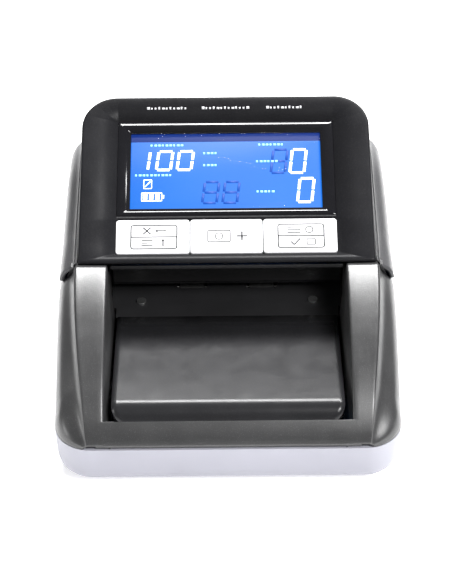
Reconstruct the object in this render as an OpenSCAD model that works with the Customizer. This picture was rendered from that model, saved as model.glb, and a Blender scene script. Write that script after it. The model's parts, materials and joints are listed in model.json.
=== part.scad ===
// Counterfeit bill detector: a bench-top note checker with a motor feed, a tilted display
// head and a lid that swings up on a rear hinge for cleaning. Millimetres, +Z up, the feed
// mouth faces -Y, and the origin is on the resting plane under the middle of the case.

/* [Case] */
// Width of the case at its widest
case_w = 132; // [130:0.5:134]
// Length of the case, front to back
case_d = 154; // [153:0.5:155]
// Corner radius of the case at the front, seen from above
front_r = 14; // [12:1:16]
// Corner radius of the case at the rear, seen from above
rear_r = 17; // [16:1:18]
// Wall thickness of the mouldings
wall = 2; // [1.6:0.1:2.2]
// Height of the rubber feet
foot_h = 2; // [1.5:0.1:2]
// Height of the seam between the light base and the dark frame
seam_z = 20; // [19.5:0.1:20.5]
// Height of the top face of the lower frame
frame_z = 44.6; // [44:0.1:44.8]

/* [Head] */
// Half width of the display head
head_x = 57.65; // [57:0.05:58]
// Length of the tilted panel
panel_len = 76.7; // [75:0.1:78]
// Tilt of the panel
panel_tilt = 22; // [21.5:0.5:22.5]
// Front edge of the panel, measured from the middle of the case
lip_y = -10; // [-10.2:0.1:-9.8]
// Height of the front edge of the panel
lip_z = 54.5; // [54.4:0.1:54.8]
// Radius of the rear corners of the head
head_r = 14; // [13:0.5:15]

/* [Note path] */
// Half width of the channel between the arms
channel_x = 46; // [45.8:0.1:46.2]
// Top of the lower track
deck_z = 29; // [28.9:0.05:29.1]
// Underside of the upper track
roof_z = 31; // [30.9:0.05:31.2]
// Radius of the driven rubber rollers
roller_r = 6; // [5.9:0.05:6]
// Radius of the pinch rollers
pinch_r = 4; // [3.9:0.05:4]
// Distance between the front and the rear feed shaft
shaft_gap = 40; // [40:1:40]

/* [Lid hinge] */
// Distance of the hinge line behind the middle of the case
hinge_y = 67; // [66.8:0.1:67.2]
// Height of the hinge line
hinge_z = 54; // [53.8:0.1:54.2]
// Radius of the hinge pins
pin_r = 1.5; // [1.2:0.1:1.8]

/* [Keys and display] */
// Lower edge of the key strip, measured up the panel
key_l0 = 3.65; // [3.4:0.05:3.8]
// Upper edge of the key strip
key_l1 = 19.1; // [19:0.05:19.2]
// Half width of the key strip and of the lens
strip_x = 42.95; // [42.5:0.05:43.2]
// Half width of the middle plate between the two keys
mid_x = 14.2; // [13.5:0.1:15]
// Lower edge of the lens
lens_l0 = 20.8; // [20.6:0.05:21]
// Upper edge of the lens
lens_l1 = 64.5; // [64:0.1:65]
// How far a key stands proud of the panel
key_proud = 0.3; // [0.2:0.05:0.4]

/* [Feed gears] */
// Gear module
gear_m = 0.8; // [0.8:0.1:0.8]
// Teeth on each feed shaft gear
shaft_teeth = 20; // [20:1:20]
// Teeth on the idler gear
idler_teeth = 30; // [30:1:30]
// Teeth on the motor pinion
pinion_teeth = 12; // [12:1:12]

/* [Hidden] */
$fn = 48;

dark = "#3c3c40";
grey = "#77777c";
black = "#141417";
steel = "#b9bcc0";
board_green = "#1d5b37";

half_w = case_w / 2;
half_d = case_d / 2;
eps = 0.01;
gap = 0.3;

// heights and places worked out from the driving sizes
base_z0 = foot_h;
floor_t = 2;
floor_z = base_z0 + floor_t;
lid_z = frame_z + gap;
shaft_z = deck_z + 0.6 - roller_r;
front_y = 12;
rear_y = front_y + shaft_gap;
idler_y = (front_y + rear_y) / 2;
pinch_z = shaft_z + roller_r + gap + pinch_r;
roller_x = 14;
roller_w = 10;
shaft_r = 2;
run_fit = 0.05;
gear_x = 48.5;
gear_w = 4;
pinion_turn = -48;
pinion_gap = gear_m * (idler_teeth + pinion_teeth) / 2;
pinion_y = idler_y + pinion_gap * cos(pinion_turn);
pinion_z = shaft_z + pinion_gap * sin(pinion_turn);
knuckle_r = 9;
front_swing_r = 76.5;
lid_gap = 0.7;

// ---------------------------------------------------------------- small helpers

// sweeps a shape drawn in the Y-Z plane along X, from x0 to x1
module along_x(x0, x1) {
    translate([x0, 0, 0]) rotate([90, 0, 90]) linear_extrude(x1 - x0) children();
}

// a round bar along X
module bar_x(r, x0, x1, y, z) {
    translate([x0, y, z]) rotate([0, 90, 0]) cylinder(r = r, h = x1 - x0);
}

// a round bar along Y
module bar_y(r, y0, y1, x, z) {
    translate([x, y1, z]) rotate([90, 0, 0]) cylinder(r = r, h = y1 - y0);
}

// a box between two corners
module box(a, b) {
    translate(a) cube(b - a);
}

// both sides of the case
module both() {
    children();
    mirror([1, 0, 0]) children();
}

// the frame of the tilted panel: Y runs up the panel and Z is its normal
module on_panel() {
    translate([0, lip_y, lip_z]) rotate([panel_tilt, 0, 0]) children();
}

// a rectangle with round corners
module round_rect(x0, y0, x1, y1, r) {
    translate([x0 + r, y0 + r]) offset(r = r) square([x1 - x0 - 2 * r, y1 - y0 - 2 * r]);
}

// the right half of the outline of the case, from front to back, drawn in by the amount inset
function half_plan(inset) =
    let (front = [half_w - 1 - front_r, -half_d + front_r], rear = [half_w - 0.8 - rear_r, half_d - rear_r])
    concat(
        [for (a = [-90 : 7.5 : 0]) front + (front_r - inset) * [cos(a), sin(a)]],
        [for (y = [-45 : 15 : 45]) [side_x(y) - inset, y]],
        [for (a = [0 : 7.5 : 90]) rear + (rear_r - inset) * [cos(a), sin(a)]]);

// the plan of the case, drawn in by the amount inset
module plan(inset) {
    right = half_plan(inset);
    n = len(right);
    polygon(concat(right, [for (i = [n - 1 : -1 : 0]) [-right[i][0], right[i][1]]]));
}

// a thin slice of the plan at the height z
module slice(z, inset) {
    translate([0, 0, z]) linear_extrude(eps) plan(inset);
}

// ---------------------------------------------------------------- curved sheets

// the two triangles of a four-sided patch
function patch(a, b, c, d) = [[a, c, b], [a, d, c]];

// a closed sheet between two grids of points, outer and inner, with the same counts
module sheet(outer, inner) {
    n = len(outer);
    m = len(outer[0]);
    o = n * m;
    points = concat([for (row = outer) each row], [for (row = inner) each row]);
    outside = [for (i = [0 : n - 2], j = [0 : m - 2])
        each patch(i * m + j, i * m + j + 1, (i + 1) * m + j + 1, (i + 1) * m + j)];
    inside = [for (i = [0 : n - 2], j = [0 : m - 2])
        each patch(o + i * m + j, o + (i + 1) * m + j, o + (i + 1) * m + j + 1, o + i * m + j + 1)];
    first_col = [for (i = [0 : n - 2]) each patch(i * m, (i + 1) * m, o + (i + 1) * m, o + i * m)];
    last_col = [for (i = [0 : n - 2])
        each patch((i + 1) * m + m - 1, i * m + m - 1, o + i * m + m - 1, o + (i + 1) * m + m - 1)];
    first_row = [for (j = [0 : m - 2]) each patch(j + 1, j, o + j, o + j + 1)];
    last_row = [for (j = [0 : m - 2])
        each patch((n - 1) * m + j, (n - 1) * m + j + 1, o + (n - 1) * m + j + 1, o + (n - 1) * m + j)];
    polyhedron(points, concat(outside, inside, first_col, last_col, first_row, last_row));
}

// half width of the case at the station y
function side_x(y) = y < -half_d + front_r
    ? half_w - 1 - front_r + sqrt(max(0, pow(front_r, 2) - pow(y + half_d - front_r, 2)))
    : y > half_d - rear_r
        ? half_w - 0.8 - rear_r + sqrt(max(0, pow(rear_r, 2) - pow(y - half_d + rear_r, 2)))
        : half_w - (y < 0 ? 1 * pow(y / (half_d - front_r), 2) : 0.8 * pow(y / (half_d - rear_r), 2));

// the shoulder's S-shaped section: how far out and how far down, as fractions
shoulder = [[0, 0], [0.1, 0.14], [0.19, 0.27], [0.34, 0.4], [0.51, 0.52], [0.68, 0.63],
            [0.85, 0.76], [0.95, 0.88], [1, 1]];
shoulder_drop = 12.4;

// height of the top of the arms at the station y, a flattened ellipse down to the seam
arm_len = lip_y + half_d;
arm_rise = 33.5;
function arm_top(y) = seam_z + arm_rise * pow(max(0, 1 - pow(max(0, lip_y - y) / arm_len, 1.5)), 2 / 3);

// the crease along the top of the arms
function crease_x(y) = min(58.3 - 4.3 * pow(max(0, lip_y - y) / 55, 1.7), side_x(y) - 2);

// ---------------------------------------------------------------- the lower unit

// one station across an arm: up the inner face, over the top, down the shoulder and the side
function arm_row(y, t) =
    let (top = arm_top(y) - t, side = side_x(y) - t, crease = min(crease_x(y), side - 0.5),
         drop = min(shoulder_drop, 0.7 * (top - seam_z)), reach = side - 0.8 * (1 - t / 4) - crease)
    concat(
        [[channel_x - 2.4 + t, y, seam_z], [channel_x + t, y, top]],
        [for (p = shoulder) [crease + reach * p[0], y, top - drop * p[1]]],
        [[side, y, seam_z]]);

// one hollow arm on the right, from the nose back to the lid
module arm() {
    steps = 26;
    back = lip_y + 3;
    nose = -half_d + 0.35;
    inner_nose = nose + wall;
    bulkhead = lip_y - wall - 0.4;
    outer = [for (i = [0 : steps]) arm_row(nose + (back - nose) * pow(i / steps, 1.3), 0)];
    inner = [for (i = [0 : steps])
        arm_row(inner_nose + (bulkhead - inner_nose) * pow(i / steps, 1.3), wall)];
    difference() {
        sheet(outer, inner);
        bar_x(front_swing_r + lid_gap, 0, half_w + 1, hinge_y, hinge_z, $fn = 160);
    }
}

// the low nose between the arms, below the front edge of the tray
module nose() {
    y0 = -half_d + 0.35;
    y1 = -half_d + 5;
    intersection() {
        along_x(-channel_x - 6, channel_x + 6) polygon(concat(
            [for (i = [0 : 6]) let (y = y0 + (y1 - y0) * i / 6) [y, arm_top(y)]],
            [[y1 + 0.5, seam_z], [y0, seam_z]]));
        translate([0, 0, seam_z]) linear_extrude(12) plan(0.1);
    }
}

// the outline behind the arms, a tub open to the lid
module frame_tub() {
    difference() {
        hull() { slice(seam_z, 0); slice(frame_z - eps, 0.9); }
        hull() { slice(seam_z - 1, wall); slice(frame_z - wall, wall + 0.9); }
        box([-half_w - 1, -half_d - 1, 0], [half_w + 1, -9.62, 60]);
        along_x(-channel_x, channel_x) polygon([[-12, 0], [73, 0], [73, 60], [-12, 60]]);
    }
}

module lower_frame() color(dark) {
    both() arm();
    nose();
    difference() {
        union() {
            frame_tub();
            both() {
                // channel wall beside the note path
                box([channel_x, -9.7, deck_z - 2], [channel_x + 1.4, 74, frame_z - 1]);
                // hinge ear, coming from the front so that the lid's knuckle turns past it
                along_x(50, 54) difference() {
                    union() {
                        translate([hinge_y, hinge_z]) circle(4);
                        translate([52, hinge_z - 4]) square([hinge_y - 52, 8]);
                        translate([52, frame_z - 2]) square([6, 10]);
                    }
                    translate([hinge_y, hinge_z]) circle(pin_r);
                }
                // screw posts over those of the base
                for (y = [-4, 62]) difference() {
                    translate([58, y, seam_z + gap]) cylinder(r = 3.5, h = frame_z - seam_z - 1);
                    translate([58, y, seam_z]) cylinder(r = 1.1, h = 12);
                }
            }
        }
        // exit slot for the notes
        along_x(-channel_x + 0.4, channel_x - 0.4)
            polygon([[70, deck_z - 1], [80, deck_z - 2], [80, roof_z + 3], [70, roof_z + 2]]);
        // room for the knuckle of the lid
        bar_x(knuckle_r + 0.5, -49.9, 49.9, hinge_y, hinge_z);
        both() bar_x(knuckle_r + 0.5, 54.1, 70, hinge_y, hinge_z);
    }
}

module bottom_base() color("#dcdce2") {
    difference() {
        union() {
            difference() {
                hull() {
                    slice(base_z0, 5);
                    slice(base_z0 + 1, 2.6);
                    slice(base_z0 + 3, 1.1);
                    slice(base_z0 + 6, 0.4);
                    slice(seam_z - gap - eps, 0);
                }
                hull() {
                    slice(floor_z, 4.4);
                    slice(base_z0 + 6, 2.6);
                    slice(seam_z, 2.2);
                }
            }
            both() for (y = [-4, 62]) translate([58, y, floor_z - 0.5])
                cylinder(r = 3.5, h = seam_z - floor_z - 0.3);
        }
        // screw holes
        both() for (y = [-4, 62]) translate([58, y, 0]) {
            cylinder(r = 1.6, h = seam_z + 2);
            cylinder(r = 3, h = 8);
        }
        // battery bay
        box([-41, -63, 0], [41, -19, floor_z + 1]);
        // openings in the rear wall
        bar_y(4.5, 70, 80, -32, 11);
        box([-52.6, 70, 9], [-44.4, 80, 12.6]);
        box([16, 70, 5.6], [31, 80, 16.4]);
        box([14.8, 76, 4.6], [32.2, 80, 17.4]);
        // seats of the feet
        both() for (y = [-60, 56]) translate([50, y, 0]) cylinder(r = 4.5, h = base_z0 + 0.8);
    }
}

// top line of the tray, from the seam up to the crest and over the curl
function tray_line(drop) = let (r = 7 - drop, cy = -64.5, cz = 26)
    concat([[-12.9, 29.5 - drop]],
           [for (a = [86 : 8 : 180]) [cy + r * cos(a), cz + r * sin(a)]],
           [[cy - r, 24.5]]);

module note_tray() color("#48484c") {
    inset = channel_x - 2.8;
    difference() {
        along_x(-inset, inset) polygon(concat(
            tray_line(0), [for (i = [len(tray_line(1.8)) - 1 : -1 : 0]) tray_line(1.8)[i]]));
        // round front corners
        both() difference() {
            box([inset - 5, -75, 20], [inset + 1, -66, 40]);
            translate([inset - 5, -66.5, 19]) cylinder(r = 5, h = 30);
        }
    }
    // ribs that stand on the battery cradle
    for (x = [-30, 30]) box([x - 0.8, -58, 23], [x + 0.8, -18, 28.2]);
}

module lower_track() color(black) {
    edge = channel_x - gap;
    difference() {
        union() {
            along_x(-edge, edge) polygon([[-12.6, deck_z - 0.4], [-9, deck_z], [72.5, deck_z],
                [72.5, deck_z - 2], [-12.6, deck_z - 2]]);
            both() difference() {
                box([edge - 2.4, -6, 13], [edge, 66, deck_z - 1]);
                box([edge - 3, 30, 0], [edge + 1, 34, 14]);
            }
            // motor plate
            box([edge - 2.4, 30, 5], [edge, 58, 14]);
            both() for (y = [-3, 60]) translate([34, y, floor_z]) cylinder(r = 3, h = deck_z - floor_z - 1);
        }
        both() for (y = [front_y, rear_y]) {
            // roller windows
            box([roller_x - roller_w / 2 - 1, y - 7, 20], [roller_x + roller_w / 2 + 1, y + 7, 40]);
            // seats of the bushes
            bar_x(3.52, edge - 5, edge + 3, y, shaft_z);
            bar_x(4.5, edge - 3.5, edge - 2.35, y, shaft_z);
        }
        // sensor window
        box([-40, 25, deck_z - 3], [40, 37, deck_z + 1]);
        // motor nose, idler stud and motor screws
        bar_x(3.1, edge - 5, edge + 3, pinion_y, pinion_z);
        bar_x(1.5, edge - 5, edge + 3, idler_y, shaft_z);
        for (s = [-1, 1]) bar_x(0.9, edge - 5, edge + 3, pinion_y + 6.5 * s, pinion_z);
        // deck screws
        both() for (y = [-3, 60]) translate([34, y, floor_z - 1]) cylinder(r = 1, h = 60);
        // clear of the feet of the arms
        both() box([channel_x - 2.2, -14, 20], [channel_x + 2, -6.8, 40]);
    }
}

module lower_sensor_window() color("#2b2433")
    box([-39.8, 25.2, deck_z - 1.6], [39.8, 36.8, deck_z - 0.05]);

module lower_sensor_board() color(board_green) {
    box([-42, 23.5, deck_z - 5.6], [42, 29, deck_z - 4]);
    for (x = [-32 : 16 : 32]) box([x - 2, 24.5, deck_z - 4], [x + 2, 28, deck_z - 2.4]);
}

module shaft_bushes() color("#c9a14a") {
    edge = channel_x - gap;
    for (y = [front_y, rear_y], s = [-1, 1]) difference() {
        union() {
            bar_x(3.5, s * (edge - 1.4) - 1.6, s * (edge - 1.4) + 1.6, y, shaft_z);
            bar_x(4.4, s * (edge - 2.9) - 0.5, s * (edge - 2.9) + 0.5, y, shaft_z);
        }
        bar_x(shaft_r + run_fit, s * edge - 8, s * edge + 8, y, shaft_z);
    }
}

module feed_motor() color(steel) {
    edge = channel_x - gap;
    difference() {
        union() {
            intersection() {
                bar_x(10, 21, edge - 2.4, pinion_y, pinion_z);
                box([20, 20, pinion_z - 7], [60, 70, pinion_z + 7]);
            }
            bar_x(3, edge - 2.5, edge + 0.6, pinion_y, pinion_z);
            bar_x(3, 19.4, 21.1, pinion_y, pinion_z);
        }
        bar_x(0.85, 30, edge + 2, pinion_y, pinion_z);
        for (s = [-1, 1]) bar_x(0.9, edge - 5, edge, pinion_y + 6.5 * s, pinion_z);
    }
}

module motor_screws() color(steel) {
    edge = channel_x - gap;
    for (s = [-1, 1]) {
        bar_x(0.85, edge - 4.8, edge + 0.1, pinion_y + 6.5 * s, pinion_z);
        bar_x(1.6, edge + 0.02, edge + 1, pinion_y + 6.5 * s, pinion_z);
    }
}

module idler_stud() color(steel) {
    bar_x(1.5, channel_x - gap - 2.4, gear_x + gear_w + 1.2, idler_y, shaft_z);
    bar_x(2.4, gear_x + gear_w + 0.95, gear_x + gear_w + 1.5, idler_y, shaft_z);
}

module main_board() color(board_green) {
    difference() {
        box([-54.2, -10, 7], [14, 56.5, 8.6]);
        for (x = [-51, 10], y = [-6, 53]) translate([x, y, 5]) cylinder(r = 1.5, h = 6);
        // clearance round the post of the track
        translate([-34, -3, 5]) cylinder(r = 3.4, h = 6);
    }
    for (x = [-50, 6], y = [-2, 50]) translate([x, y, floor_z]) cylinder(r = 2.4, h = 3);
}

module board_components() color("#2a2a2e") {
    box([-30, 14, 8.6], [-18, 26, 10.2]);
    box([-8, 26, 8.6], [2, 33, 10.2]);
    for (x = [-48 : 6 : -36]) box([x, 20, 8.6], [x + 3, 24, 10]);
    for (x = [-50, -41]) translate([x, 4, 8.6]) cylinder(r = 3.2, h = 4.2);
    for (y = [34 : 5 : 49]) box([-34, y, 8.6], [-28, y + 3, 10]);
    box([-20, -8, 8.6], [-4, -4, 13]);
    box([-6, 50, 8.6], [8, 54, 13]);
}

module dc_jack() color(black) {
    difference() {
        union() {
            bar_y(4.3, 66, 76.4, -32, 11);
            box([-37, 64.2, 6.6], [-27, 72.3, 15.4]);
        }
        bar_y(2.75, 66.5, 78, -32, 11);
    }
    bar_y(1, 66, 75.9, -32, 11);
}

module update_port() color(steel) {
    difference() {
        box([-52.4, 66, 9.2], [-44.6, 76.2, 12.4]);
        box([-51.9, 68, 9.7], [-45.1, 78, 11.9]);
    }
    box([-50.4, 66, 10.2], [-46.6, 74.5, 10.9]);
}

module switch_body() color(black) {
    difference() {
        union() {
            box([16.1, 64, 5.7], [30.9, 76, 16.3]);
            box([15, 76.1, 4.8], [32, 76.9, 17.2]);
            box([16.1, 75.5, 5.7], [30.9, 76.5, 16.3]);
        }
        box([17.4, 68, 6.9], [29.6, 78, 15.1]);
        bar_x(0.8, 16.5, 30.5, 74.2, 11);
    }
}

module power_rocker() color("#b42020") {
    along_x(17.7, 29.3) polygon(concat(
        [[72.6, 8.2], [75.6, 7.4], [77.0, 7.9], [76.3, 11], [76.3, 14.4], [75.4, 14.6], [72.6, 13.6]]));
    both_pins = [17.75, 29.25];
    for (x = both_pins) bar_x(0.72, x - 1.1, x + 1.1, 74.2, 11);
}

module battery_pack() color("#3d6fb0") {
    for (y = [-52, -40.5, -29]) bar_x(5.6, -36, 36, y, 11.4);
    box([-37, -46, 16.8], [37, -35, 17.4]);
}

module battery_cover() color("#d4d4da") {
    difference() {
        union() {
            box([-40.7, -62.7, base_z0], [40.7, -19.3, floor_z]);
            for (y = [-48, -34]) box([-30, y, floor_z - 0.1], [30, y + 1.2, floor_z + 1.4]);
        }
        for (x = [-35, 35]) translate([x, -23.4, 0]) {
            cylinder(r = 1.3, h = 9);
            cylinder(r = 2.4, h = base_z0 + 0.9);
        }
    }
}

module battery_cover_screws() color(steel)
    for (x = [-35, 35]) translate([x, -23.4, base_z0 + 0.2]) {
        cylinder(r = 2.2, h = 0.7);
        cylinder(r = 1.2, h = 4);
    }

module rubber_feet() color("#26262a")
    both() for (y = [-60, 56]) translate([50, y, 0]) {
        cylinder(r1 = 4.6, r2 = 5, h = 0.6);
        translate([0, 0, 0.6]) cylinder(r = 5, h = base_z0 - 0.6 - eps);
        cylinder(r = 4.3, h = base_z0 + 0.7);
    }

module base_screws() color(steel)
    both() for (y = [-4, 62]) translate([58, y, 0]) {
        translate([0, 0, 6.2]) cylinder(r = 2.7, h = 1.7);
        translate([0, 0, 7]) cylinder(r = 1.05, h = 23);
    }

module deck_screws() color(steel)
    both() for (y = [-3, 60]) translate([34, y, 0]) {
        translate([0, 0, deck_z + 0.02]) cylinder(r = 1.9, h = 0.6);
        translate([0, 0, deck_z - 12]) cylinder(r = 0.95, h = 12.3);
    }

module hinge_pins() color(steel) both() {
    bar_x(pin_r, 45, 56, hinge_y, hinge_z);
}

// ---------------------------------------------------------------- feed drive

function inv_angle(a) = tan(a) * 180 / PI - a;

// half the angle that a tooth spans at the radius r
function tooth_half(teeth, r) =
    let (rp = gear_m * teeth / 2, rb = rp * cos(20), a = acos(min(1, rb / max(r, rb))))
    90 / teeth - 0.05 / rp * 180 / PI + inv_angle(20) - inv_angle(a);

function gear_outline(teeth) =
    let (rp = gear_m * teeth / 2, tip = rp + 0.7 * gear_m, root = rp - 1.0 * gear_m,
         radii = [root, rp * 0.96, rp, rp + 0.35 * gear_m, tip])
    [for (k = [0 : teeth - 1], i = [0 : 9])
        let (r = radii[i < 5 ? i : 9 - i], h = tooth_half(teeth, r), a = 360 * k / teeth + (i < 5 ? -h : h))
        [r * cos(a), r * sin(a)]];

// a spur gear on the X axis, with a hub and a bore, turned by phase
module spur(teeth, bore, phase, y, z) {
    translate([gear_x, y, z]) rotate([90, 0, 90]) difference() {
        union() {
            rotate(phase) linear_extrude(gear_w) polygon(gear_outline(teeth));
            translate([0, 0, gear_w - eps]) cylinder(r = min(5, gear_m * teeth / 3), h = 0.8);
        }
        translate([0, 0, -1]) cylinder(r = bore, h = gear_w + 3);
    }
}

module feed_shaft(y) color(steel) difference() {
    bar_x(shaft_r, -channel_x - 1.6, gear_x + gear_w + 1.6, y, shaft_z);
    bar_x(0.6, gear_x + gear_w, gear_x + gear_w + 3, y, shaft_z);
}

module feed_rollers(y) color("#3a3a3c") for (s = [-1, 1]) difference() {
    bar_x(roller_r, s * roller_x - roller_w / 2, s * roller_x + roller_w / 2, y, shaft_z);
    bar_x(shaft_r, s * roller_x - roller_w, s * roller_x + roller_w, y, shaft_z);
}

module front_feed_shaft() feed_shaft(front_y);
module rear_feed_shaft() feed_shaft(rear_y);
module front_feed_rollers() feed_rollers(front_y);
module rear_feed_rollers() feed_rollers(rear_y);
module front_shaft_gear() color("#e8e4d8") spur(shaft_teeth, shaft_r, 180 / shaft_teeth, front_y, shaft_z);
module rear_shaft_gear() color("#e8e4d8") spur(shaft_teeth, shaft_r, 180 / shaft_teeth, rear_y, shaft_z);
module idler_gear() color("#e8e4d8") spur(idler_teeth, 1.5 + run_fit, 0, idler_y, shaft_z);

module motor_shaft() color(steel)
    bar_x(0.8, 31, gear_x + gear_w + 0.5, pinion_y, pinion_z);

module motor_pinion() color("#c9a14a")
    spur(pinion_teeth, 0.8, pinion_turn + 180 + 180 / pinion_teeth, pinion_y, pinion_z);

module pinch_axle(y) color(steel) bar_x(1.2, -22, 22, y, pinch_z);

module pinch_pair(y) color("#3a3a3c") for (s = [-1, 1]) difference() {
    bar_x(pinch_r, s * roller_x - 4, s * roller_x + 4, y, pinch_z);
    bar_x(1.2, s * roller_x - 8, s * roller_x + 8, y, pinch_z);
}

module front_pinch_axle() pinch_axle(front_y);
module rear_pinch_axle() pinch_axle(rear_y);
module front_pinch_rollers() pinch_pair(front_y);
module rear_pinch_rollers() pinch_pair(rear_y);

// ---------------------------------------------------------------- the lid

// walks along the outline of the lid on the right: q is the distance from its front end, which
// keeps inside the circle that the lid's front swings on
side_len = half_d - rear_r + 8.9;
corner_len = rear_r * PI / 2;
back_len = half_w - 0.8 - rear_r;
walk_len = side_len + corner_len + back_len;
rear_plan_y = 71.8;

// point of the outer edge of the lid
function edge_out(q, t) = q < side_len
    ? let (y = q - 8.9) [side_x(y) - 0.9 - t, y]
    : q < side_len + corner_len
        ? let (a = (q - side_len) / rear_r * 180 / PI, r = rear_r - 0.8 - t)
          [half_w - 0.8 - rear_r + r * cos(a), half_d - rear_r + r * sin(a)]
        : [max(0, walk_len - q), half_d - 0.8 - t];

// matching point beside the head
function edge_in(q, t) =
    let (x = head_x + 0.35 + t, y = rear_plan_y + 0.35 + t, r = head_r + 0.35 + t)
    q < side_len - 2
        ? [x, q - 8.9 - max(0, q - 8.9 - y + r)]
        : q < side_len + corner_len
            ? let (a = 90 * (q - side_len + 2) / (corner_len + 2)) [x - r + r * cos(a), y - r + r * sin(a)]
            : [max(0, (walk_len - q) / back_len * (x - r)), y];

function smooth(t) = let (c = min(1, max(0, t))) c * c * (3 - 2 * c);

// height of the cheek beside the head
function cheek_top(q) = lip_z + 0.17 * min(q, 75) - 10 * smooth((q - 50) / 60);

// bottom of the lid at the station y: level, then up round the knuckle at the back
function lid_bottom(y) = y < hinge_y
    ? lid_z
    : max(lid_z, hinge_z - sqrt(max(0, pow(knuckle_r, 2) - pow(y - hinge_y, 2))));

function cover_row(q, t) =
    let (o = edge_out(q, t), i = edge_in(q, t * 0.7), top = cheek_top(q) - t, m = len(shoulder) - 1,
         low = lid_bottom(edge_out(q, 0)[1]),
         drop = min(shoulder_drop - 8 * smooth((q - side_len) / corner_len), top - low - 0.6))
    concat(
        [[i[0], i[1], cheek_top(q) - 2.6], [i[0], i[1], top]],
        [for (k = [1 : m]) let (p = shoulder[k])
            [i[0] + (o[0] - i[0]) * p[0], i[1] + (o[1] - i[1]) * p[0], top - drop * p[1]]],
        [[o[0], o[1], low]]);

// the rows from the right front end round the back to the left front end
function cover_rows(t) =
    let (n = 42, right = [for (k = [0 : n]) cover_row(walk_len * k / n, t)])
    concat(right, [for (k = [n - 1 : -1 : 0]) [for (p = right[k]) [-p[0], p[1], p[2]]]]);

module cover_shoulder() sheet(cover_rows(0), cover_rows(1.8));

module upper_cover() color(grey) {
    cover_shoulder();
    // ribs that stiffen the cheeks
    both() box([59.5, 20, 46], [64.4, 21.2, 47.5]);
}

// plates that close the front ends of the cover, shaped to the inside of its shoulder
module lid_end_plates() color(black) {
    row = cover_row(2, 3);
    x0 = channel_x + 0.4;
    difference() {
        both() translate([0, -6.6, 0]) rotate([90, 0, 0]) linear_extrude(4) polygon(concat(
            [[x0, lid_z + 0.2], [x0, lip_z - 2.8], [head_x + 0.1, lip_z - 2.8]],
            [for (p = row) if (p[2] > lid_z + 0.3) [p[0] + 0.1, p[2] - 0.1]],
            [[row[len(row) - 1][0], lid_z + 0.2]]));
        difference() {
            box([-70, -13, 30], [70, -5, 60]);
            bar_x(front_swing_r - 0.2, -71, 71, hinge_y, hinge_z, $fn = 160);
        }
    }
}

// hinge lugs, each with the bore that turns on its pin, on the curved skirt that closes the
// lid below the hinge line
module hinge_bracket() color(grey) {
    both() difference() {
        along_x(46.2, 49.3) union() {
            translate([hinge_y, hinge_z]) circle(4);
            translate([hinge_y, hinge_z - 3]) square([7.3, 2.4]);
        }
        bar_x(pin_r + run_fit, 45, 51, hinge_y, hinge_z);
    }
    along_x(-47.8, 47.8) intersection() {
        difference() {
            translate([hinge_y, hinge_z]) circle(knuckle_r - 0.1);
            translate([hinge_y, hinge_z]) circle(knuckle_r - 1.6);
        }
        translate([hinge_y, hinge_z - 20]) square([20, 19.95]);
    }
}

// a solid of the head down to its seat on the cover, drawn in by the amount inset
module head_solid(inset, depth) {
    intersection() {
        on_panel() translate([0, 0, -40]) linear_extrude(40 - depth)
            round_rect_rear(head_x - inset, inset, panel_len - inset, head_r - inset);
        along_x(-70, 70) polygon([[-20, lip_z - 0.35 - depth], [-9.4, lip_z - 0.35 - depth],
            [-8, lip_z - 2.6], [rear_plan_y - 14, lip_z + 1], [rear_plan_y, lip_z - 1.5],
            [rear_plan_y, 100], [-20, 100]]);
    }
}

// a rectangle from -x to x whose two far corners are round
module round_rect_rear(x, y0, y1, r) {
    polygon(concat(
        [[-x, y0], [x, y0]],
        [for (a = [0 : 6 : 90]) [x - r + r * cos(a), y1 - r + r * sin(a)]],
        [for (a = [90 : 6 : 180]) [-x + r + r * cos(a), y1 - r + r * sin(a)]]));
}

module display_housing() color(dark) {
    lcd = [39.4, 22.6, 61.6];
    difference() {
        head_solid(0, 0);
        difference() {
            head_solid(wall, wall);
            // bosses for the lid screws
            on_panel() both() for (l = [6, 68]) translate([46, l, -40]) cylinder(r = 3.2, h = 40);
        }
        on_panel() {
            // key opening and lens seat
            box([-strip_x - 0.15, key_l0 - 0.15, -8], [strip_x + 0.15, key_l1 + 0.15, 2]);
            box([-strip_x - 0.1, lens_l0 - 0.1, -1.5], [strip_x + 0.1, lens_l1 + 0.1, 2]);
            translate([-lcd[0], lcd[1], -8]) cube([2 * lcd[0], lcd[2] - lcd[1], 10]);
            both() for (l = [6, 68]) translate([46, l, -50]) cylinder(r = 1, h = 46);
        }
        // clear of the hinge
        both() box([42.6, 50, 40], [56.4, 80, hinge_z + 4.1]);
    }
}

module display_lens() color("#101014") on_panel()
    translate([-strip_x, lens_l0, -1.4]) cube([2 * strip_x, lens_l1 - lens_l0, 1.45]);

module lcd_panel() color("#2a8cff") on_panel()
    translate([-39, 22.9, -4.2]) cube([78, 38.4, 2.6]);

module lcd_backlight() color("#e8f0ff") on_panel()
    translate([-39, 22.9, -7.4]) cube([78, 38.4, 3.1]);

module display_board() color(board_green) on_panel() difference() {
    translate([-42.4, 7, -9.2]) cube([84.8, 56, 1.6]);
    both() translate([38, 60.5, -12]) cylinder(r = 1.4, h = 6);
}

module key_switches() color("#2a2a2e") on_panel() for (s = [-1, 1]) translate([s * 28.5, 11.4, -7.6]) {
    translate([-3, -3, 0]) cube([6, 6, 2]);
    cylinder(r = 1.6, h = 2.6);
}

// a key cap with its stem, between x0 and x1
module key_cap(x0, x1) on_panel() {
    l0 = key_l0 + 0.2;
    translate([x0, l0, -2]) linear_extrude(2.1)
        round_rect(0, 0, x1 - x0, key_l1 - key_l0 - 0.4, 1);
    translate([x0 + 0.25, l0 + 0.25, 0]) linear_extrude(key_proud)
        round_rect(0, 0, x1 - x0 - 0.5, key_l1 - key_l0 - 0.9, 0.8);
    translate([(x0 + x1) / 2, 11.4, -4]) cylinder(r = 2.2, h = 2.5);
}

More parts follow.
